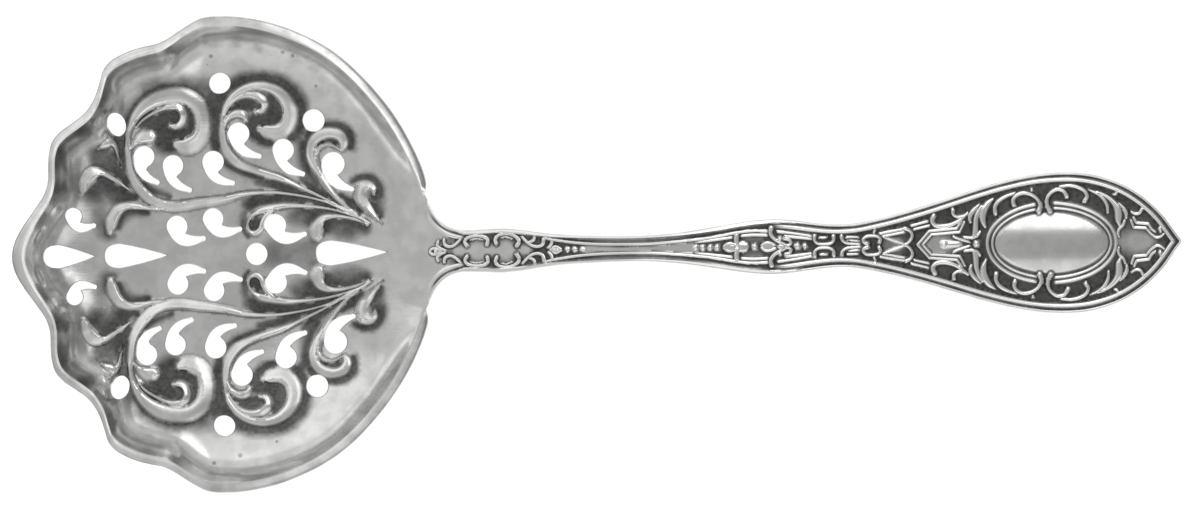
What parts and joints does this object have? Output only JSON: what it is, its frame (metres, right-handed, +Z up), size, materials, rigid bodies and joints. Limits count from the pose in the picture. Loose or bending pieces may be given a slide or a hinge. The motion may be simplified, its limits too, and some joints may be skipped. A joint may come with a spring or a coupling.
{
  "type": "bonbon spoon",
  "caption": "Silver bonbon spoon: a dished, pierced bowl with a scalloped rim and raised scrolls, soldered to an arched handle with strapwork ornament and an oval cartouche.",
  "frame": {"origin": "middle of the bowl's flat underside, on the table", "axes": "+X along the handle toward its tip, +Z up out of the open bowl"},
  "size_m": [0.1301, 0.053, 0.0132],
  "materials": {
    "bowl_silver": "worn polished silver, darkened round the raised scrolls",
    "solder": "dull hard silver solder",
    "handle_silver": "polished silver relief on a darkened field"
  },
  "bodies": {
    "root": {"bowl": "bowl_silver", "solder_seam": "solder", "handle": "handle_silver"}
  },
  "joints": []
}
